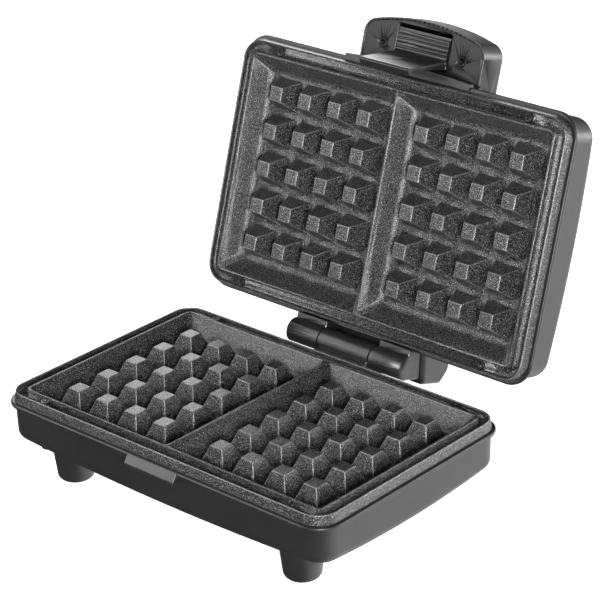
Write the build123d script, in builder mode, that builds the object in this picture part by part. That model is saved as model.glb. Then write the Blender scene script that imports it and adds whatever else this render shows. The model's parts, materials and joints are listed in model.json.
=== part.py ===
from build123d import *
import os

os.makedirs("parts", exist_ok=True)

# Waffle maker: two cast waffle plates in domed plastic housings, hinged at the back, with a handle and a
# sprung latch at the front. Lengths in mm, +Z up, front toward -Y, and the lid stands open on its stop.
#
# Each half is drawn in its own frame: origin at its centre on the parting plane, +Y toward the hinge and
# Z as depth into the housing. base_frame and lid_frame then put the two halves in place.

# Layout
parting_height = 53.0
base_center_y = -47.2
hinge_back = 84.6
hinge_rise = 0.4
lid_open_angle = 107.2

# Housing
flange_half_width, flange_half_depth, flange_corner = 118.5, 75.9, 14.8
flange_top, flange_bottom, flange_edge_radius = 6.2, 8.9, 1.0
wall_half_width, wall_half_depth, wall_corner = 116.1, 73.3, 12.3
wall_draft = 1.3
shell_thickness = 2.6
cut_margin = 1.0
seat_gap = 0.01
dome_depth = 36.6
dome_side_radius = 1728.0
dome_front_radius = 660.0
dome_edge_radius = 5.5
dome_half_sweep = 5.0
dome_blank_reach = 100.0

# Waffle plate
rim_top = 0.5
rim_half_width, rim_half_depth, rim_corner = 115.5, 72.8, 12.0
skirt_half_width, skirt_half_depth, skirt_corner = 116.6, 73.8, 13.0
lip_top = 0.3
lip_half_width, lip_half_depth, lip_corner = 108.6, 65.8, 3.6
groove_half_width, groove_half_depth, groove_corner = 114.5, 71.8, 11.0
groove_floor, groove_floor_radius = 4.5, 1.8
cavity_centre_x = 53.95
cavity_width, cavity_length, cavity_corner = 106.9, 129.2, 2.5
floor_width, floor_length = 91.95, 113.7
floor_depth = 12.6
pan_top_half_width, pan_top_half_depth = 106.8, 63.9
pan_half_width, pan_half_depth, pan_corner = 102.4, 59.4, 5.0
pan_depth = 15.6
peg_pitch_x, peg_pitch_y = 22.0, 22.2
pegs_across, pegs_along = 4, 5
peg_base, peg_tip = 17.7, 8.6
peg_top = 0.9

# Plate screws
plate_screw_x, plate_screw_y = 89.0, 68.8
plate_boss_radius, plate_boss_top = 3.6, 2.0
plate_hole_radius = 1.7
plate_screw_head_radius, plate_screw_head_height = 2.9, 1.2
plate_screw_radius, plate_screw_length = 1.5, 14.0
drive_length, drive_width, drive_depth = 3.4, 0.7, 0.6

# Heating
heater_radius = 3.2
heater_half_width, heater_half_depth, heater_bend = 76.0, 36.0, 16.0
heater_end_gap = 12.0
heater_end_length, heater_end_radius = 12.0, 1.4
clamp_spots = [(-76.0, 0.0), (76.0, 0.0), (-40.0, -36.0), (40.0, -36.0)]
clamp_length, clamp_width, clamp_thickness = 24.0, 8.0, 0.8
reflector_half_width, reflector_half_depth, reflector_corner = 96.0, 54.0, 8.0
reflector_depth, reflector_thickness = 24.6, 0.6
thermostat_radius, thermostat_height = 8.0, 7.4
thermostat_tab_width, thermostat_tab_length, thermostat_tab_height = 6.0, 20.0, 1.0
fuse_radius, fuse_length = 2.0, 14.0
fuse_x, fuse_y = 30.0, 14.0

# Feet
front_foot_x, front_foot_y = 84.55, 53.3
rear_foot_x, rear_foot_y = 64.0, 55.0
foot_radius, foot_blank_radius, foot_edge_radius = 10.0, 13.8, 3.6
foot_bottom = 52.6
foot_blank_top = 20.0
pad_radius, pad_thickness, pad_recess = 6.2, 1.8, 1.4

# Hinge
barrel_radius = 7.1
knuckle_half_width = 18.4
leaf_inner_x, leaf_outer_x = 19.4, 42.0
leaf_slab_ends = (11.0, 13.9)
knuckle_slab_ends = (24.0, 24.0)
web_front, web_back = 74.1, 77.5
lid_web_top, base_web_top = 0.4, 1.0
pin_radius, pin_half_length = 2.0, 37.2
pin_running_fit = 0.05
leaf_bore_end = 37.6
hinge_screw_head_radius, hinge_screw_head_height = 3.0, 1.6
hinge_screw_radius, hinge_screw_length = 1.5, 12.0
knuckle_screw_x, knuckle_screw_depth, knuckle_screw_seat = 11.0, 19.0, 70.3
leaf_screw_x, leaf_screw_seat = 30.0, 18.85

# Rear hump of the lid
hump_half_width = 44.0
hump_profile = [(70.0, 11.1), (76.2, 11.1), (95.0, 15.0), (95.3, 32.9), (90.0, 36.9), (70.0, 35.4)]
hump_hollow = [
    (68.0, 17.0),
    (76.2, 17.2),
    (92.2, 19.4),
    (92.4, 31.5),
    (88.9, 34.1),
    (76.2, 32.4),
    (68.0, 29.4),
]
hump_wall = 2.8
hump_edge_radius = 3.0

# Handle
handle_half_width = 43.0
handle_front = 104.5
handle_side_front = 97.75
handle_root = 70.0
handle_under, handle_top = 16.2, 37.2
handle_corner, handle_edge_radius = 9.0, 5.0
handle_border, handle_wall = 1.5, 3.0
handle_inner_back = 76.5
handle_roof = 34.4
cover_recess, cover_seat = 0.4, 18.8
cover_gap = 0.15
bay_half_width, bay_front, bay_back, bay_corner = 19.2, 100.5, 79.0, 1.0
cover_screw_x, cover_screw_y = 28.2, 87.2
post_radius, post_hole_radius = 3.4, 1.2
cover_screw_head_radius, cover_screw_head_height = 2.8, 1.1
cover_screw_radius, cover_screw_length = 1.2, 9.0
cover_counterbore_radius = 3.0
neck_half_width = 44.5
ledge_front, ledge_bulge, ledge_lip = 77.4, 79.3, 5.0
neck_profile = [(72.0, 8.0), (76.2, 8.0), (75.0, 10.5), (74.9, 13.0), (76.6, 16.2), (72.0, 16.2)]

# Latch
latch_pivot_y, latch_pivot_depth = 84.0, 24.5
latch_pin_radius, latch_pin_half_length = 1.5, 23.4
latch_running_fit = 0.05
latch_hub_radius = 3.8
latch_half_width, latch_arm_half_width = 18.2, 17.6
pad_front, pad_under, pad_upper = 98.2, 16.3, 18.8
rib_tip = 15.5
rib_pitch, rib_count, rib_start, rib_half_base = 4.7, 3, 94.6, 2.05
fine_groove_width, fine_groove_depth = 0.5, 0.5
riser_front, riser_back = 87.4, 80.4
arm_profile = [
    (85.3, 17.0),
    (80.2, -15.4),
    (79.2, -16.4),
    (77.6, -15.6),
    (75.8, -14.2),
    (75.8, -12.4),
    (79.3, -12.0),
    (80.6, 17.0),
]
ear_inner_x, ear_outer_x = 20.4, 23.4
ear_front, ear_back, ear_low = 88.0, 80.0, 20.8
catch_half_width = 18.1
catch_profile = [(75.95, 6.4), (78.9, 10.5), (78.9, 11.6), (72.0, 11.6), (72.0, 8.0), (75.95, 8.0)]
spring_radius, spring_wire_radius, spring_pitch = 2.6, 0.3, 1.9
spring_y = 93.0

# Wiring
gland_x, gland_depth = -68.0, 21.0
gland_radius, gland_flange_radius, gland_bore_radius = 5.0, 6.6, 3.2
gland_back, gland_front, gland_lip = 74.6, 66.4, 71.5
terminal_x, terminal_y, terminal_top = -34.0, 64.5, 18.0
terminal_width, terminal_length = 26.0, 9.0
lead_radius, lead_bend, lead_depth = 1.2, 1.5, 26.4
lead_rows = [(-38.0, 43.0, -1), (-28.0, 50.0, 1)]
lead_hole_x, lead_hole_radius = 3.0, 2.0
lead_start_base, lead_start_lid = 60.0, 88.0

on_bottom = (Align.CENTER, Align.CENTER, Align.MIN)

base_frame = Plane(origin=(0, base_center_y, parting_height), x_dir=(-1, 0, 0), z_dir=(0, 0, -1))
hinge_point = Pos(0, base_center_y + hinge_back, parting_height + hinge_rise)
closed_lid = Pos(0, base_center_y, parting_height)
lid_frame = Plane(hinge_point * Rot(X=-lid_open_angle) * hinge_point.inverse() * closed_lid)


def front(points):
    """Profile points given as (distance in front of the centre, depth), in the half's Y and Z."""
    return [(-distance, depth) for distance, depth in points]


def prism(points, start, end):
    """A (Y, Z) profile extruded along X from start to end."""
    with BuildPart() as bar:
        with BuildSketch(Plane.YZ.offset(start)):
            with BuildLine():
                Polyline(points, close=True)
            make_face()
        extrude(amount=end - start)
    return bar.part


def dome_blank(lowered):
    """Everything on the parting side of the domed outer face, lowered by a thickness."""
    axis_depth = dome_depth - lowered - dome_side_radius
    reach = dome_blank_reach
    side = dome_side_radius
    sagitta = dome_front_radius - (dome_front_radius**2 - reach**2) ** 0.5
    tilt = Plane(Pos(0, 0, axis_depth) * Rot(Y=-dome_half_sweep) * Plane.YZ.location)
    with BuildPart() as blank:
        with BuildSketch(tilt):
            with BuildLine():
                ThreePointArc((-reach, side - sagitta), (0, side), (reach, side - sagitta))
                Polyline(
                    (reach, side - sagitta),
                    (reach, side - 2 * dome_depth),
                    (-reach, side - 2 * dome_depth),
                    (-reach, side - sagitta),
                )
            make_face()
        revolve(axis=Axis((0, 0, axis_depth), (0, 1, 0)), revolution_arc=2 * dome_half_sweep)
    return blank.part


def housing_outside():
    """The filled housing: flange, drafted wall and domed face, with its rounded edge."""
    with BuildPart() as flange:
        with BuildSketch(Plane.XY.offset(flange_top)):
            RectangleRounded(2 * flange_half_width, 2 * flange_half_depth, flange_corner)
        extrude(amount=flange_bottom - flange_top)
        fillet(flange.edges().filter_by(Axis.Z, reverse=True), flange_edge_radius)
    with BuildPart() as outside:
        with BuildSketch(Plane.XY.offset(flange_top)):
            RectangleRounded(2 * wall_half_width, 2 * wall_half_depth, wall_corner)
        extrude(amount=dome_depth - flange_top + cut_margin, taper=wall_draft)
        add(dome_blank(0), mode=Mode.INTERSECT)
        fillet(outside.faces().sort_by(Axis.Z)[-1].edges(), dome_edge_radius)
        add(flange.part)
    return outside.part


def housing_inside():
    """The room inside the housing."""
    with BuildPart() as inside:
        with BuildSketch(Plane.XY.offset(flange_top - cut_margin)):
            RectangleRounded(
                2 * (wall_half_width - shell_thickness),
                2 * (wall_half_depth - shell_thickness),
                wall_corner - shell_thickness,
            )
        extrude(amount=dome_depth, taper=wall_draft)
        add(dome_blank(shell_thickness), mode=Mode.INTERSECT)
    return inside.part


def screw_columns():
    """The four columns that take the plate screws."""
    with BuildPart() as columns:
        with BuildSketch(Plane.XY.offset(flange_top)):
            with GridLocations(2 * plate_screw_x, 2 * plate_screw_y, 2, 2):
                Circle(plate_boss_radius)
                Circle(plate_screw_radius, mode=Mode.SUBTRACT)
        extrude(amount=dome_depth)
        add(dome_blank(shell_thickness / 2), mode=Mode.INTERSECT)
    return columns.part


def housing():
    """The hollow housing with its screw columns."""
    with BuildPart() as shell:
        add(filled_housing)
        add(housing_inside(), mode=Mode.SUBTRACT)
        add(screw_columns())
    return shell.part


def frustum(bottom_depth, bottom_size, top_depth, top_size):
    """A block lofted between two rounded rectangles given as (width, length, corner)."""
    with BuildPart() as block:
        with BuildSketch(Plane.XY.offset(bottom_depth)):
            RectangleRounded(*bottom_size)
        with BuildSketch(Plane.XY.offset(top_depth)):
            RectangleRounded(*top_size)
        loft(ruled=True)
    return block.part


def waffle_peg():
    """A four-sided peg standing on the pan's floor."""
    with BuildPart() as peg:
        with BuildSketch(Plane.XY.offset(floor_depth)):
            Rectangle(peg_base, peg_base)
        with BuildSketch(Plane.XY.offset(peg_top)):
            Rectangle(peg_tip, peg_tip)
        loft(ruled=True)
    return peg.part


def waffle_plate():
    """Rim and skirt, drip groove, two pans and their pegs, and the four screw bosses."""
    rim_size = (2 * rim_half_width, 2 * rim_half_depth, rim_corner)
    skirt_size = (2 * skirt_half_width, 2 * skirt_half_depth, skirt_corner)
    with BuildPart() as plate:
        add(frustum(flange_top, skirt_size, rim_top, rim_size))
        with BuildSketch(Plane.XY.offset(lip_top)):
            RectangleRounded(2 * groove_half_width, 2 * groove_half_depth, groove_corner)
        extrude(amount=groove_floor - lip_top, mode=Mode.SUBTRACT)
        low, high = groove_floor - seat_gap, groove_floor + seat_gap
        fillet(plate.edges().filter_by_position(Axis.Z, low, high), groove_floor_radius)
        with BuildSketch(Plane.XY.offset(lip_top)):
            RectangleRounded(2 * lip_half_width, 2 * lip_half_depth, lip_corner)
        extrude(amount=flange_top - lip_top)
        add(
            frustum(
                flange_top,
                (2 * pan_top_half_width, 2 * pan_top_half_depth, pan_corner),
                pan_depth,
                (2 * pan_half_width, 2 * pan_half_depth, pan_corner),
            )
        )
        with Locations((-cavity_centre_x, 0), (cavity_centre_x, 0)):
            add(
                frustum(
                    lip_top,
                    (cavity_width, cavity_length, cavity_corner),
                    floor_depth,
                    (floor_width, floor_length, cavity_corner),
                ),
                mode=Mode.SUBTRACT,
            )
        peg = waffle_peg()
        for centre_x in (-cavity_centre_x, cavity_centre_x):
            with Locations((centre_x, 0)):
                with GridLocations(peg_pitch_x, peg_pitch_y, pegs_across, pegs_along):
                    add(peg)
        with BuildSketch(Plane.XY.offset(plate_boss_top)):
            with GridLocations(2 * plate_screw_x, 2 * plate_screw_y, 2, 2):
                Circle(plate_boss_radius)
        extrude(amount=flange_top - plate_boss_top)
        with BuildSketch(Plane.XY):
            with GridLocations(2 * plate_screw_x, 2 * plate_screw_y, 2, 2):
                Circle(plate_hole_radius)
        extrude(amount=flange_top, mode=Mode.SUBTRACT)
    return plate.part


def pan_head_screw(head_radius, head_height, shank_radius, shank_length):
    """A cross-recessed screw: head from Z = 0 to head_height, then its shank."""
    with BuildPart() as screw:
        with BuildSketch(Plane.XY):
            Circle(head_radius)
        extrude(amount=head_height)
        fillet(screw.faces().sort_by(Axis.Z)[0].edges(), head_height / 2)
        with BuildSketch(Plane.XY.offset(head_height)):
            Circle(shank_radius)
        extrude(amount=shank_length)
        with BuildSketch(Plane.XY):
            Rectangle(drive_length, drive_width)
            Rectangle(drive_width, drive_length)
        extrude(amount=drive_depth, mode=Mode.SUBTRACT)
    return screw.part


def plate_screws():
    screw = pan_head_screw(
        plate_screw_head_radius, plate_screw_head_height, plate_screw_radius, plate_screw_length
    )
    with BuildPart() as screws:
        with Locations((0, 0, plate_boss_top - plate_screw_head_height)):
            with GridLocations(2 * plate_screw_x, 2 * plate_screw_y, 2, 2):
                add(screw)
    return screws.part


def heater():
    """A tubular element bent into an open loop against the pans, with its two cold ends."""
    depth = pan_depth + heater_radius
    with BuildPart() as element:
        with BuildLine() as path:
            FilletPolyline(
                (heater_end_gap, heater_half_depth, depth),
                (heater_half_width, heater_half_depth, depth),
                (heater_half_width, -heater_half_depth, depth),
                (-heater_half_width, -heater_half_depth, depth),
                (-heater_half_width, heater_half_depth, depth),
                (-heater_end_gap, heater_half_depth, depth),
                radius=heater_bend,
            )
        with BuildSketch(Plane(origin=path.line @ 0, z_dir=path.line % 0)):
            Circle(heater_radius)
        sweep()
        for side in (-1, 1):
            with Locations(Location((side * heater_end_gap, heater_half_depth, depth), (0, -90 * side, 0))):
                Cylinder(heater_end_radius, heater_end_length / 2, align=on_bottom)
    return element.part


def heater_clamps():
    """Straps that hold the element against the pans."""
    with BuildPart() as clamps:
        for x, y in clamp_spots:
            along_x = abs(y) < heater_radius
            length = clamp_length if along_x else clamp_width
            width = clamp_width if along_x else clamp_length
            with Locations((x, y, pan_depth)):
                Box(length, width, 2 * heater_radius + clamp_thickness, align=on_bottom)
                Box(
                    length - 2 * clamp_thickness if along_x else length,
                    width if along_x else width - 2 * clamp_thickness,
                    2 * heater_radius,
                    align=on_bottom,
                    mode=Mode.SUBTRACT,
                )
    return clamps.part


def reflector():
    """A thin tray whose turned-up edge meets the back of the pans."""
    outer = (2 * reflector_half_width, 2 * reflector_half_depth, reflector_corner)
    inner = (
        2 * (reflector_half_width - reflector_thickness),
        2 * (reflector_half_depth - reflector_thickness),
        reflector_corner - reflector_thickness,
    )
    with BuildPart() as tray:
        with BuildSketch(Plane.XY.offset(pan_depth)):
            RectangleRounded(*outer)
        extrude(amount=reflector_depth - pan_depth)
        with BuildSketch(Plane.XY.offset(pan_depth)):
            RectangleRounded(*inner)
        extrude(amount=reflector_depth - reflector_thickness - pan_depth, mode=Mode.SUBTRACT)
        for _, row, side in lead_rows:
            with Locations((side * lead_hole_x, row, reflector_depth)):
                Cylinder(lead_hole_radius, 4 * reflector_thickness, mode=Mode.SUBTRACT)
    return tray.part


def thermostat():
    """A disc thermostat clamped to the back of the plate by its tab."""
    with BuildPart() as switch:
        with BuildSketch(Plane.XY.offset(pan_depth)):
            Rectangle(thermostat_tab_length, thermostat_tab_width)
        extrude(amount=thermostat_tab_height)
        with BuildSketch(Plane.XY.offset(pan_depth)):
            Circle(thermostat_radius)
        extrude(amount=thermostat_height)
    return switch.part


def hinge_leaf(start, end, axis_depth, web_top, slab_ends):
    """Barrel, slab and web of one leaf from X = start to end, fitted round the housing's outside."""
    with BuildPart() as leaf:
        with BuildSketch(Plane.YZ.offset(start)):
            with Locations((hinge_back, axis_depth)):
                Circle(barrel_radius)
            with BuildLine():
                Polyline(
                    (hinge_back - barrel_radius, axis_depth),
                    (hinge_back + barrel_radius, axis_depth),
                    (hinge_back + barrel_radius, slab_ends[1]),
                    (hinge_back - barrel_radius, slab_ends[0]),
                    close=True,
                )
            make_face()
            with BuildLine():
                Polyline(
                    (wall_half_depth - shell_thickness, web_top),
                    (web_back, web_top),
                    (web_back, slab_ends[0]),
                    (wall_half_depth - shell_thickness, slab_ends[0]),
                    close=True,
                )
            make_face()
        extrude(amount=end - start)
        with BuildSketch(Plane.XY.offset(-dome_depth)):
            RectangleRounded(2 * skirt_half_width, 2 * (web_front - seat_gap), skirt_corner)
        extrude(amount=dome_depth + flange_top, mode=Mode.SUBTRACT)
        add(filled_housing, mode=Mode.SUBTRACT)
    return leaf.part


def bore_along_x(radius, start, end, y, depth):
    """A cylinder along X, to cut or fill a bore."""
    with BuildPart() as rod:
        with BuildSketch(Plane.YZ.offset(start)):
            with Locations((y, depth)):
                Circle(radius)
        extrude(amount=end - start)
    return rod.part


def along_pivot(radius, half_length):
    """A cylinder about the latch's pivot."""
    return bore_along_x(radius, -half_length, half_length, -latch_pivot_y, latch_pivot_depth)


def handle_outline(inset, back):
    """The handle's plan with its bowed front, inset by a wall and ending at the given back line."""
    right_end = (-handle_half_width, -handle_side_front)
    left_end = (handle_half_width, -handle_side_front)
    with BuildSketch() as plan:
        with BuildLine():
            ThreePointArc(right_end, (0, -handle_front), left_end)
            Polyline(left_end, (handle_half_width, 0), (-handle_half_width, 0), right_end)
        make_face()
        fillet(plan.vertices().group_by(Axis.Y)[0], handle_corner)
        offset(amount=-inset)
        with Locations((0, -back)):
            Rectangle(3 * handle_half_width, 3 * back, align=(Align.CENTER, Align.MIN), mode=Mode.SUBTRACT)
    return plan.sketch


def leads(start_y):
    """The two leads from start_y, under the tray, up through its holes and on to the element's ends."""
    end_x = heater_end_gap - heater_end_length / 2
    end_depth = pan_depth + heater_radius
    with BuildPart() as wires:
        for start_x, row, side in lead_rows:
            with BuildLine() as path:
                FilletPolyline(
                    (start_x, start_y, lead_depth),
                    (start_x, row, lead_depth),
                    (side * lead_hole_x, row, lead_depth),
                    (side * lead_hole_x, row, end_depth),
                    (side * lead_hole_x, heater_half_depth, end_depth),
                    (side * end_x, heater_half_depth, end_depth),
                    radius=lead_bend,
                )
            with BuildSketch(Plane(origin=path.line @ 0, z_dir=path.line % 0)):
                Circle(lead_radius)
            sweep()
    return wires.part


def foot():
    """A tapered foot with a rounded bottom, and a recess for its pad."""
    height = foot_bottom - foot_blank_top
    with BuildPart() as cone:
        with Locations((0, 0, foot_blank_top)):
            Cone(foot_blank_radius, foot_radius, height, align=on_bottom)
        fillet(cone.faces().sort_by(Axis.Z)[-1].edges(), foot_edge_radius)
        with Locations((0, 0, foot_bottom)):
            Cylinder(pad_radius, 2 * pad_recess, mode=Mode.SUBTRACT)
    return cone.part


def rear_hump():
    """The box behind the lid that the hinge leaves hang from."""
    with BuildPart() as hump:
        add(prism(hump_profile, -hump_half_width, hump_half_width))
        fillet(hump.edges().filter_by(lambda e: e.center().Y > hinge_back), hump_edge_radius)
        add(filled_housing, mode=Mode.SUBTRACT)
    return hump.part


def neck():
    """The bowed ledge on the lid's flange and the curved neck from it up to the handle."""
    right_end = (-neck_half_width, -ledge_front)
    left_end = (neck_half_width, -ledge_front)
    with BuildPart() as throat:
        with BuildSketch(Plane.XY.offset(ledge_lip)):
            with BuildLine():
                ThreePointArc(right_end, (0, -ledge_bulge), left_end)
                Polyline(left_end, (neck_half_width, -web_front), (-neck_half_width, -web_front), right_end)
            make_face()
        extrude(amount=flange_bottom - ledge_lip)
        add(prism(front(neck_profile), -neck_half_width, neck_half_width))
        add(housing_inside(), mode=Mode.SUBTRACT)
    return throat.part


def handle():
    """The hollow handle with its cover seat, two screw posts and the two ears of the latch pin."""
    with BuildPart() as grip:
        with BuildSketch(Plane.XY.offset(handle_under)):
            add(handle_outline(0, handle_root))
        extrude(amount=handle_top - handle_under)
        top_edges = grip.faces().sort_by(Axis.Z)[-1].edges()
        fillet(top_edges.sort_by(Axis.Y)[:-1], handle_edge_radius)
        with BuildSketch(Plane.XY.offset(handle_under)):
            add(handle_outline(handle_border, handle_inner_back))
        extrude(amount=cover_seat - handle_under, mode=Mode.SUBTRACT)
        with BuildSketch(Plane.XY.offset(cover_seat)):
            add(handle_outline(handle_wall, handle_inner_back))
        extrude(amount=handle_roof - cover_seat, mode=Mode.SUBTRACT)
        with BuildSketch(Plane.XY.offset(cover_seat)):
            with Locations((-cover_screw_x, -cover_screw_y), (cover_screw_x, -cover_screw_y)):
                Circle(post_radius)
                Circle(post_hole_radius, mode=Mode.SUBTRACT)
        extrude(amount=handle_roof - cover_seat)
        with BuildSketch(Plane.XY.offset(ear_low)):
            for side in (-1, 1):
                with Locations((side * (ear_inner_x + ear_outer_x) / 2, -(ear_front + ear_back) / 2)):
                    Rectangle(ear_outer_x - ear_inner_x, ear_front - ear_back)
        extrude(amount=handle_roof - ear_low)
        add(along_pivot(latch_pin_radius, latch_pin_half_length), mode=Mode.SUBTRACT)
        add(filled_housing, mode=Mode.SUBTRACT)
    return grip.part


def handle_lid():
    """The cover under the handle, with its bay for the latch and two counterbored screw holes."""
    top = handle_under + cover_recess
    with BuildPart() as cover:
        with BuildSketch(Plane.XY.offset(top)):
            add(handle_outline(handle_border + cover_gap, handle_inner_back + cover_gap))
            with Locations((0, -(bay_front + bay_back) / 2)):
                RectangleRounded(2 * bay_half_width, bay_front - bay_back, bay_corner, mode=Mode.SUBTRACT)
            with Locations((-cover_screw_x, -cover_screw_y), (cover_screw_x, -cover_screw_y)):
                Circle(cover_screw_radius, mode=Mode.SUBTRACT)
        extrude(amount=cover_seat - top)
        with BuildSketch(Plane.XY.offset(top)):
            with Locations((-cover_screw_x, -cover_screw_y), (cover_screw_x, -cover_screw_y)):
                Circle(cover_counterbore_radius)
        extrude(amount=cover_screw_head_height, mode=Mode.SUBTRACT)
    return cover.part


def latch_lever():
    """Ribbed finger pad, riser with the pivot hub, and the long arm with its hook."""
    half_tip = rib_half_base - (pad_under - rib_tip) / 2
    with BuildPart() as lever:
        add(prism(front(arm_profile), -latch_arm_half_width, latch_arm_half_width))
        pad = [
            (pad_front, pad_under),
            (pad_front, pad_upper),
            (riser_front, pad_upper),
            (riser_front, pad_under),
        ]
        add(prism(front(pad), -latch_half_width, latch_half_width))
        riser = [
            (riser_front, pad_under),
            (riser_front, latch_pivot_depth),
            (riser_back, latch_pivot_depth),
            (riser_back, pad_under),
        ]
        add(prism(front(riser), -latch_half_width, latch_half_width))
        add(along_pivot(latch_hub_radius, latch_half_width))
        for number in range(rib_count):
            centre = rib_start - number * rib_pitch
            rib = [
                (centre + rib_half_base, pad_under),
                (centre + half_tip, rib_tip),
                (centre + fine_groove_width, rib_tip),
                (centre, rib_tip + fine_groove_depth),
                (centre - fine_groove_width, rib_tip),
                (centre - half_tip, rib_tip),
                (centre - rib_half_base, pad_under),
            ]
            add(prism(front(rib), -latch_half_width, latch_half_width))
        add(along_pivot(latch_pin_radius + latch_running_fit, latch_pin_half_length), mode=Mode.SUBTRACT)
    return lever.part


def coil_spring():
    """A compression coil between the finger pad and the roof of the handle."""
    low, high = pad_upper + spring_wire_radius, handle_roof - spring_wire_radius
    with BuildPart() as coil:
        with BuildLine() as path:
            Helix(spring_pitch, high - low, spring_radius, center=(0, -spring_y, low))
        with BuildSketch(Plane(origin=path.line @ 0, z_dir=path.line % 0)):
            Circle(spring_wire_radius)
        sweep(is_frenet=True)
    return coil.part


filled_housing = housing_outside()
half_shell = housing()
half_plate = waffle_plate()
foot_cone = foot()

# Base
foot_spots = {
    "foot_front_right": (-front_foot_x, -front_foot_y),
    "foot_front_left": (front_foot_x, -front_foot_y),
    "foot_rear_right": (-rear_foot_x, rear_foot_y),
    "foot_rear_left": (rear_foot_x, rear_foot_y),
}

with BuildPart(base_frame) as base_housing:
    add(half_shell)
    with Locations(Location((gland_x, wall_half_depth, gland_depth), (90, 0, 0))):
        Cylinder(gland_radius, 4 * shell_thickness, mode=Mode.SUBTRACT)
    for side in (-1, 1):
        entry = (side * knuckle_screw_x, wall_half_depth, knuckle_screw_depth)
        with Locations(Location(entry, (90, 0, 0))):
            Cylinder(hinge_screw_radius, 4 * shell_thickness, mode=Mode.SUBTRACT)

with BuildPart(base_frame) as lower_plate:
    add(half_plate)

with BuildPart(base_frame) as lower_plate_screws:
    add(plate_screws())

with BuildPart(base_frame) as lower_heater:
    add(heater())

with BuildPart(base_frame) as lower_heater_clamps:
    add(heater_clamps())

with BuildPart(base_frame) as lower_reflector:
    add(reflector())

with BuildPart(base_frame) as lower_thermostat:
    add(thermostat())

with BuildPart(base_frame) as thermal_fuse:
    with Locations(Location((fuse_x, fuse_y, pan_depth + fuse_radius), (0, 90, 0))):
        Cylinder(fuse_radius, fuse_length)

with BuildPart(base_frame) as latch_catch:
    add(prism(front(catch_profile), -catch_half_width, catch_half_width))
    add(filled_housing, mode=Mode.SUBTRACT)

with BuildPart(base_frame) as base_hinge_knuckle:
    add(hinge_leaf(-knuckle_half_width, knuckle_half_width, -hinge_rise, base_web_top, knuckle_slab_ends))
    add(
        bore_along_x(pin_radius, -pin_half_length, pin_half_length, hinge_back, -hinge_rise),
        mode=Mode.SUBTRACT,
    )
    for side in (-1, 1):
        seat = (side * knuckle_screw_x, knuckle_screw_seat, knuckle_screw_depth)
        with Locations(Location(seat, (90, 0, 0))):
            Cylinder(hinge_screw_radius, 2 * hinge_screw_length, mode=Mode.SUBTRACT)

with BuildPart(base_frame) as base_hinge_screws:
    for side in (-1, 1):
        seat = knuckle_screw_seat - hinge_screw_head_height
        with Locations(Location((side * knuckle_screw_x, seat, knuckle_screw_depth), (-90, 0, 0))):
            add(
                pan_head_screw(
                    hinge_screw_head_radius, hinge_screw_head_height, hinge_screw_radius, hinge_screw_length
                )
            )

with BuildPart(base_frame) as hinge_pin:
    add(bore_along_x(pin_radius, -pin_half_length, pin_half_length, hinge_back, -hinge_rise))

with BuildPart(base_frame) as cord_gland:
    with Locations(Location((gland_x, gland_lip, gland_depth), (-90, 0, 0))):
        Cylinder(gland_flange_radius, gland_back - gland_lip, align=on_bottom)
    add(filled_housing, mode=Mode.SUBTRACT)
    with Locations(Location((gland_x, gland_front, gland_depth), (-90, 0, 0))):
        Cylinder(gland_radius, gland_back - gland_front, align=on_bottom)
        Cylinder(gland_bore_radius, 4 * (gland_back - gland_front), mode=Mode.SUBTRACT)

with BuildPart(base_frame) as terminal_block:
    with Locations((terminal_x, terminal_y, terminal_top)):
        Box(terminal_width, terminal_length, dome_depth, align=on_bottom)
    add(housing_inside(), mode=Mode.INTERSECT)

with BuildPart(base_frame) as lower_wiring:
    add(leads(lead_start_base))

feet = {}
for name, (x, y) in foot_spots.items():
    with BuildPart(base_frame) as one_foot:
        with Locations((x, y, 0)):
            add(foot_cone)
        add(dome_blank(0), mode=Mode.SUBTRACT)
    feet[name] = one_foot

with BuildPart(base_frame) as foot_pads:
    for x, y in foot_spots.values():
        with Locations((x, y, foot_bottom - pad_recess)):
            Cylinder(pad_radius, pad_thickness, align=on_bottom)

# Lid
with BuildPart(lid_frame) as lid_housing:
    add(half_shell)
    add(rear_hump())
    add(prism(hump_hollow, hump_wall - hump_half_width, hump_half_width - hump_wall), mode=Mode.SUBTRACT)
    add(neck())
    for side in (-1, 1):
        with Locations((side * leaf_screw_x, hinge_back, leaf_screw_seat)):
            Cylinder(hinge_screw_radius, 2 * hinge_screw_length, mode=Mode.SUBTRACT)

with BuildPart(lid_frame) as upper_plate:
    add(half_plate)

with BuildPart(lid_frame) as upper_plate_screws:
    add(plate_screws())

with BuildPart(lid_frame) as upper_heater:
    add(heater())

with BuildPart(lid_frame) as upper_heater_clamps:
    add(heater_clamps())

with BuildPart(lid_frame) as upper_thermostat:
    add(thermostat())

with BuildPart(lid_frame) as upper_wiring:
    add(leads(lead_start_lid))

leaves = {}
for name, side in (("lid_hinge_left", -1), ("lid_hinge_right", 1)):
    start, end = sorted((side * leaf_inner_x, side * leaf_outer_x))
    with BuildPart(lid_frame) as leaf:
        add(hinge_leaf(start, end, hinge_rise, lid_web_top, leaf_slab_ends))
        add(
            bore_along_x(
                pin_radius + pin_running_fit, *sorted((0, side * leaf_bore_end)), hinge_back, hinge_rise
            ),
            mode=Mode.SUBTRACT,
        )
        with Locations((side * leaf_screw_x, hinge_back, leaf_screw_seat)):
            Cylinder(hinge_screw_radius, 2 * hinge_screw_length, mode=Mode.SUBTRACT)
    leaves[name] = leaf

with BuildPart(lid_frame) as lid_hinge_screws:
    for side in (-1, 1):
        head = leaf_screw_seat + hinge_screw_head_height
        with Locations(Location((side * leaf_screw_x, hinge_back, head), (180, 0, 0))):
            add(
                pan_head_screw(
                    hinge_screw_head_radius, hinge_screw_head_height, hinge_screw_radius, hinge_screw_length
                )
            )

with BuildPart(lid_frame) as handle_body:
    add(handle())

with BuildPart(lid_frame) as handle_cover:
    add(handle_lid())

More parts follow.
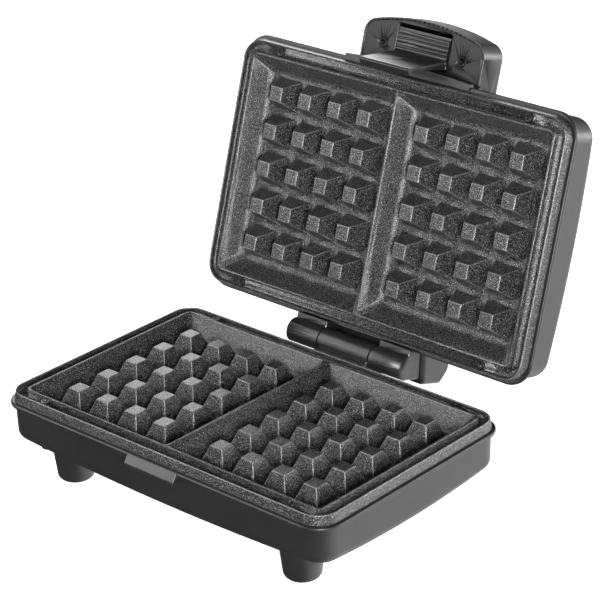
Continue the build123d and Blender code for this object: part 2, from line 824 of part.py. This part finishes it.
with BuildPart(lid_frame) as handle_screws:
    with Locations(
        (-cover_screw_x, -cover_screw_y, handle_under + cover_recess),
        (cover_screw_x, -cover_screw_y, handle_under + cover_recess),
    ):
        add(
            pan_head_screw(
                cover_screw_head_radius, cover_screw_head_height, cover_screw_radius, cover_screw_length
            )
        )

with BuildPart(lid_frame) as latch_pin:
    add(along_pivot(latch_pin_radius, latch_pin_half_length))

with BuildPart(lid_frame) as latch_spring:
    add(coil_spring())

# Latch
with BuildPart(lid_frame) as latch:
    add(latch_lever())

nodes = {
    "base_housing": base_housing,
    "lower_plate": lower_plate,
    "lower_plate_screws": lower_plate_screws,
    "lower_heater": lower_heater,
    "lower_heater_clamps": lower_heater_clamps,
    "lower_reflector": lower_reflector,
    "lower_thermostat": lower_thermostat,
    "thermal_fuse": thermal_fuse,
    "latch_catch": latch_catch,
    "base_hinge_knuckle": base_hinge_knuckle,
    "base_hinge_screws": base_hinge_screws,
    "hinge_pin": hinge_pin,
    "cord_gland": cord_gland,
    "terminal_block": terminal_block,
    "lower_wiring": lower_wiring,
    "foot_pads": foot_pads,
    "lid_housing": lid_housing,
    "upper_plate": upper_plate,
    "upper_plate_screws": upper_plate_screws,
    "upper_heater": upper_heater,
    "upper_heater_clamps": upper_heater_clamps,
    "upper_thermostat": upper_thermostat,
    "upper_wiring": upper_wiring,
    "lid_hinge_screws": lid_hinge_screws,
    "handle_body": handle_body,
    "handle_cover": handle_cover,
    "handle_screws": handle_screws,
    "latch_pin": latch_pin,
    "latch_spring": latch_spring,
    "latch": latch,
    **feet,
    **leaves,
}

for name, node in nodes.items():
    node.part.label = name
    export_step(node.part, f"parts/{name}.step")
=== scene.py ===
import json
import math

import bmesh
import bpy
from mathutils import Matrix, Vector

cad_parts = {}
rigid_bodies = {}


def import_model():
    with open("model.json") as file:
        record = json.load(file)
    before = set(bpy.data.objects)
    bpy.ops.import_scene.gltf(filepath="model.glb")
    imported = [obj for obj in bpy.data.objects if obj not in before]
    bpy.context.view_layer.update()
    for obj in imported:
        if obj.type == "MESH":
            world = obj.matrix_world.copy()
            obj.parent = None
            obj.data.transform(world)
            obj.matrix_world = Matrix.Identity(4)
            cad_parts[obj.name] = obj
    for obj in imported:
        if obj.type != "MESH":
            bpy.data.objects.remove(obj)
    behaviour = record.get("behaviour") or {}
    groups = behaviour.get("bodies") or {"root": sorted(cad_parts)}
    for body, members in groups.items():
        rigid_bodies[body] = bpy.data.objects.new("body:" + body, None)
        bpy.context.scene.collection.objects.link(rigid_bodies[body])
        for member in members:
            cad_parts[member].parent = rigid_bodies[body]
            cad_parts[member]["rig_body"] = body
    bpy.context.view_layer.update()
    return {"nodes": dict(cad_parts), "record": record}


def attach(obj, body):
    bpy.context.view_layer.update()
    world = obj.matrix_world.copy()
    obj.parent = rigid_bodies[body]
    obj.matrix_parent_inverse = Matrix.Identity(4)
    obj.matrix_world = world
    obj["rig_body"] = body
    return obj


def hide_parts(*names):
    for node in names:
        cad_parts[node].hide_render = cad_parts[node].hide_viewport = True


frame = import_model()
scene = bpy.context.scene

WELD_DISTANCE = 1e-6
SHARP_ANGLE = math.radians(28)
# Shortest edges that are rounded and get the painted edge highlight.
SHORTEST_HIGHLIGHTED_EDGE = 0.0009
SHORTEST_HIGHLIGHTED_HANDLE_EDGE = 0.004
ROUNDING_SEGMENTS = 3

# ---------------------------------------------------------------- materials


class Nodes:
    """A short way to build one node material."""

    def __init__(self, name):
        self.material = bpy.data.materials.new(name)
        self.material.use_nodes = True
        self.tree = self.material.node_tree
        self.shader = self.tree.nodes["Principled BSDF"]
        self.coords = self.add("ShaderNodeTexCoord").outputs["Object"]

    def add(self, kind, **values):
        node = self.tree.nodes.new(kind)
        for key, value in values.items():
            setattr(node, key, value)
        return node

    def link(self, source, target):
        self.tree.links.new(source, target)

    def noise(self, scale, detail=3.0, roughness=0.55):
        node = self.add("ShaderNodeTexNoise")
        node.inputs["Scale"].default_value = scale
        node.inputs["Detail"].default_value = detail
        node.inputs["Roughness"].default_value = roughness
        self.link(self.coords, node.inputs["Vector"])
        return node.outputs["Fac"]

    def ramp(self, source, stops):
        """A colour ramp through (position, grey or colour) stops."""
        node = self.add("ShaderNodeValToRGB")
        elements = node.color_ramp.elements
        while len(elements) < len(stops):
            elements.new(0.5)
        for element, (position, colour) in zip(elements, stops):
            if isinstance(colour, float):
                colour = (colour, colour, colour)
            element.position = position
            element.color = (*colour, 1.0)
        self.link(source, node.inputs["Fac"])
        return node.outputs["Color"]

    def mix(self, factor, first, second):
        node = self.add("ShaderNodeMix", data_type="RGBA")
        self.link(factor, node.inputs["Factor"])
        for socket, value in ((node.inputs["A"], first), (node.inputs["B"], second)):
            if isinstance(value, tuple):
                socket.default_value = (*value, 1.0)
            else:
                self.link(value, socket)
        return node.outputs["Result"]

    def bump(self, height, distance, strength=1.0, normal=None):
        node = self.add("ShaderNodeBump")
        node.inputs["Distance"].default_value = distance
        node.inputs["Strength"].default_value = strength
        self.link(height, node.inputs["Height"])
        if normal:
            self.link(normal, node.inputs["Normal"])
        return node.outputs["Normal"]

    def finish(self, colour, roughness, normal):
        self.link(colour, self.shader.inputs["Base Color"])
        self.link(roughness, self.shader.inputs["Roughness"])
        self.link(normal, self.shader.inputs["Normal"])
        return self.material


def moulded_plastic(name, tone, rough, grain_height, specular=0.5):
    """Black moulded plastic: fine spark-eroded grain, slow tone drift and a little dust."""
    m = Nodes(name)
    grain = m.noise(2600.0, 2.0)
    dust = m.ramp(m.noise(900.0, 2.0, 0.7), [(0.66, 0.0), (0.74, 0.5)])
    colour = m.ramp(m.noise(14.0, 3.0), [(0.3, tone * 0.85), (0.7, tone * 1.15)])
    colour = m.mix(dust, colour, (tone * 2.2, tone * 2.2, tone * 2.25))
    roughness = m.ramp(m.noise(60.0, 4.0), [(0.3, rough - 0.04), (0.7, rough + 0.04)])
    m.shader.inputs["Specular IOR Level"].default_value = specular
    return m.finish(colour, roughness, m.bump(grain, grain_height))


def coated_plate(name, tone, specular):
    """Dark non-stick coating: orange peel and fine bright flecks in a semi-gloss skin."""
    m = Nodes(name)
    peel = m.noise(700.0, 3.0)
    fine = m.noise(2200.0, 2.0)
    flecks = m.ramp(m.noise(2400.0, 2.0, 0.6), [(0.59, 0.0), (0.64, 1.0)])
    skin = m.ramp(m.noise(30.0, 3.0), [(0.3, tone * 0.8), (0.7, tone * 1.2)])
    colour = m.mix(flecks, skin, (tone + 0.30, tone + 0.30, tone + 0.303))
    roughness = m.ramp(fine, [(0.3, 0.20), (0.7, 0.38)])
    m.shader.inputs["Specular IOR Level"].default_value = specular
    return m.finish(colour, roughness, m.bump(fine, 0.0002, 0.8, m.bump(peel, 0.00012, 0.6)))


def plated_steel(name, tone, rough):
    """Plated steel with fine drawn scratches and dulled patches."""
    m = Nodes(name)
    scratches = m.noise(3000.0, 2.0, 0.8)
    patches = m.noise(160.0, 4.0)
    colour = m.ramp(patches, [(0.3, tone * 0.8), (0.7, tone * 1.1)])
    roughness = m.ramp(patches, [(0.3, rough - 0.08), (0.7, rough + 0.08)])
    m.shader.inputs["Metallic"].default_value = 1.0
    return m.finish(colour, roughness, m.bump(scratches, 0.00003, 0.5))


def soft_rubber(name, tone):
    """Matt rubber or sleeving with a fine moulded texture."""
    m = Nodes(name)
    colour = m.ramp(m.noise(300.0, 4.0), [(0.3, tone * 0.8), (0.7, tone * 1.3)])
    roughness = m.ramp(m.noise(900.0, 2.0), [(0.3, 0.7), (0.7, 0.85)])
    return m.finish(colour, roughness, m.bump(m.noise(1800.0, 2.0), 0.0001, 0.6))


def floor_material():
    """Pale studio sweep, lit evenly from below as well as from above."""
    m = Nodes("studio_floor")
    colour = m.ramp(m.noise(4.0, 2.0), [(0.3, 0.88), (0.7, 0.90)])
    roughness = m.ramp(m.noise(40.0, 2.0), [(0.3, 0.75), (0.7, 0.85)])
    m.shader.inputs["Emission Color"].default_value = (1.0, 1.0, 1.0, 1.0)
    m.shader.inputs["Emission Strength"].default_value = 0.75
    return m.finish(colour, roughness, m.bump(m.noise(200.0, 2.0), 0.0001, 0.2))


finishes = {
    "black_housing": moulded_plastic("housing_plastic", 0.009, 0.38, 0.00003, 0.5),
    "handle_plastic": moulded_plastic("handle_plastic", 0.009, 0.38, 0.00003, 0.5),
    "handle_cover_plastic": moulded_plastic("handle_cover_plastic", 0.011, 0.46, 0.00004, 0.35),
    "coated_plate": coated_plate("nonstick_coating", 0.004, 0.5),
    "steel": plated_steel("screw_steel", 0.03, 0.42),
    "element_steel": plated_steel("element_steel", 0.35, 0.42),
    "sheet_steel": plated_steel("sheet_steel", 0.55, 0.30),
    "pad_rubber": soft_rubber("pad_rubber", 0.012),
    "lead_insulation": soft_rubber("lead_sleeve", 0.35),
    "inner_plastic": moulded_plastic("inner_plastic", 0.012, 0.55, 0.00004),
}
# Lighter, glossier finishes for the rounded edge faces: a painted highlight along the edges.
edge_highlight_finishes = {
    "coated_plate": coated_plate("nonstick_painted_edge_highlight", 0.04, 1.0),
    "black_housing": moulded_plastic("housing_painted_edge_highlight", 0.02, 0.28, 0.00002, 0.6),
    "handle_plastic": moulded_plastic("handle_painted_edge_highlight", 0.02, 0.28, 0.00002, 0.6),
    "handle_cover_plastic": moulded_plastic("cover_painted_edge_highlight", 0.02, 0.30, 0.00002, 0.6),
    "steel": plated_steel("steel_painted_edge_highlight", 0.25, 0.30),
}

slots = {part["node"]: part["material_slot"] for part in frame["record"]["subparts"]}

# ---------------------------------------------------------------- pieces


def paint(obj, slot_name):
    """The slot's finish, as the object's only material."""
    obj.data.materials.clear()
    obj.data.materials.append(finishes[slot_name])


def welded_copy(node):
    """The CAD node's surface as a new mesh with shared vertices and its outer edges marked."""
    surface = bmesh.new()
    surface.from_mesh(frame["nodes"][node].data)
    bmesh.ops.remove_doubles(surface, verts=surface.verts, dist=WELD_DISTANCE)
    # Edges weighted here are rounded and carry the painted edge highlight.
    highlight_weight = surface.edges.layers.float.new("bevel_weight_edge")
    on_handle = node.startswith("handle")
    shortest = SHORTEST_HIGHLIGHTED_HANDLE_EDGE if on_handle else SHORTEST_HIGHLIGHTED_EDGE
    for edge in surface.edges:
        sharp = edge.is_manifold and edge.calc_face_angle_signed() > SHARP_ANGLE
        if sharp and edge.calc_length() > shortest:
            edge[highlight_weight] = 1.0
    mesh = bpy.data.meshes.new(node + "_surface")
    surface.to_mesh(mesh)
    surface.free()
    mesh.shade_smooth()
    mesh.set_sharp_from_angle(angle=SHARP_ANGLE)
    return mesh


def refined(node, rounding):
    """A finished piece in place of a CAD node, its outer edges rounded and given lighter faces as a
    painted highlight.
    """
    piece = bpy.data.objects.new(node + "_finished", welded_copy(node))
    scene.collection.objects.link(piece)
    bevel = piece.modifiers.new("rounding", "BEVEL")
    bevel.width = rounding
    bevel.segments = ROUNDING_SEGMENTS
    bevel.limit_method = "WEIGHT"
    bevel.use_clamp_overlap = False
    bevel.harden_normals = True
    paint(piece, slots[node])
    piece.data.materials.append(edge_highlight_finishes[slots[node]])
    # The rounded faces get the lighter second material: a painted edge highlight.
    bevel.material = 1
    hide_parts(node)
    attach(piece, frame["nodes"][node]["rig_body"])


for name, obj in frame["nodes"].items():
    paint(obj, slots[name])

EDGE_ROUNDING = {
    "lower_plate": 0.0005,
    "upper_plate": 0.0005,
    "lid_hinge_left": 0.0010,
    "lid_hinge_right": 0.0010,
    "base_hinge_knuckle": 0.0010,
    "latch_catch": 0.0004,
    "latch": 0.0003,
    "handle_cover": 0.0003,
    "handle_body": 0.0003,
    "lower_plate_screws": 0.0001,
    "upper_plate_screws": 0.0001,
    "handle_screws": 0.0001,
}
for name, rounding in EDGE_ROUNDING.items():
    refined(name, rounding)

# ---------------------------------------------------------------- studio

FLOOR_SIZE = 30.0
FLOOR_GAP = 0.0004
ROOM_LEVEL = 0.10
BRIGHT_SIDE_LEVEL = 1.9
BRIGHT_SIDE = (0.61, 0.67, -0.42)
BRIGHT_SIDE_STARTS, BRIGHT_SIDE_FULL = 0.35, 0.85


def studio_floor():
    """The sweep, just under the feet. Gloss rays pass it, so its glow isn't mirrored in the walls."""
    bpy.ops.mesh.primitive_plane_add(size=FLOOR_SIZE, location=(0, 0, -FLOOR_GAP))
    floor = bpy.context.object
    floor.name = "studio_floor"
    floor.data.materials.append(floor_material())
    floor.visible_glossy = False


def area_light(name, place, target, size, power):
    """A rectangular light of (width, height) metres and a power in watts, aimed at a target."""
    data = bpy.data.lights.new(name, "AREA")
    data.shape = "RECTANGLE"
    data.size, data.size_y = size
    data.energy = power
    lamp = bpy.data.objects.new(name, data)
    lamp.location = place
    lamp.rotation_euler = (Vector(target) - Vector(place)).to_track_quat("-Z", "Y").to_euler()
    scene.collection.objects.link(lamp)


def surroundings(dim, bright, toward):
    """A dim room with one bright low side, as from a white sweep lit on that side."""
    world = bpy.data.worlds.new("studio")
    world.use_nodes = True
    tree = world.node_tree
    direction = tree.nodes.new("ShaderNodeTexCoord").outputs["Generated"]
    facing = tree.nodes.new("ShaderNodeVectorMath")
    facing.operation = "DOT_PRODUCT"
    facing.inputs[1].default_value = toward
    level = tree.nodes.new("ShaderNodeMapRange")
    level.inputs["From Min"].default_value = BRIGHT_SIDE_STARTS
    level.inputs["From Max"].default_value = BRIGHT_SIDE_FULL
    level.inputs["To Min"].default_value = dim
    level.inputs["To Max"].default_value = bright
    tree.links.new(direction, facing.inputs[0])
    tree.links.new(facing.outputs["Value"], level.inputs["Value"])
    tree.links.new(level.outputs["Result"], tree.nodes["Background"].inputs["Color"])
    scene.world = world


studio_floor()
surroundings(ROOM_LEVEL, BRIGHT_SIDE_LEVEL, BRIGHT_SIDE)
area_light("back_right_low", (1.3, 1.3, 0.14), (0.1, 0.0, 0.05), (1.6, 0.26), 20.0)
area_light("front_left_high", (-1.05, -1.15, 0.72), (0.0, 0.05, 0.08), (0.9, 0.36), 10.0)
area_light("front_left_low", (-1.1, -1.25, 0.11), (0.0, 0.05, 0.10), (1.0, 0.16), 3.6)
area_light("camera_side", (1.02, -0.93, 0.50), (0.0, 0.0, 0.08), (0.30, 0.30), 34.0)
area_light("top_left", (-0.8, -0.5, 0.95), (0.0, 0.0, 0.08), (0.5, 0.5), 5.0)
area_light("back_left", (-1.1, 1.2, 0.75), (0.0, 0.0, 0.08), (0.9, 0.6), 13.0)
scene.view_settings.view_transform = "Standard"

# ---------------------------------------------------------------- camera

CAMERA_PLACE = Vector((0.81343, -0.90384, 0.65257))
CAMERA_AZIMUTH, CAMERA_ELEVATION, CAMERA_ROLL = map(math.radians, (42.10, 24.55, -1.49))
CAMERA_LENS, SENSOR_WIDTH = 145.6, 36.0


def photo_camera():
    """The photograph's view: placed, turned and then rolled about its own line of sight."""
    data = bpy.data.cameras.new("photo_view")
    data.sensor_width = SENSOR_WIDTH
    data.lens = CAMERA_LENS
    camera = bpy.data.objects.new("photo_view", data)
    forward = Vector(
        (
            -math.sin(CAMERA_AZIMUTH) * math.cos(CAMERA_ELEVATION),
            math.cos(CAMERA_AZIMUTH) * math.cos(CAMERA_ELEVATION),
            -math.sin(CAMERA_ELEVATION),
        )
    )
    level = Vector((math.cos(CAMERA_AZIMUTH), math.sin(CAMERA_AZIMUTH), 0.0))
    above = level.cross(forward)
    right = level * math.cos(CAMERA_ROLL) + above * math.sin(CAMERA_ROLL)
    up = right.cross(forward)
    turn = Matrix((right, up, -forward)).transposed().to_4x4()
    camera.matrix_world = Matrix.Translation(CAMERA_PLACE) @ turn
    scene.collection.objects.link(camera)
    scene.camera = camera


photo_camera()
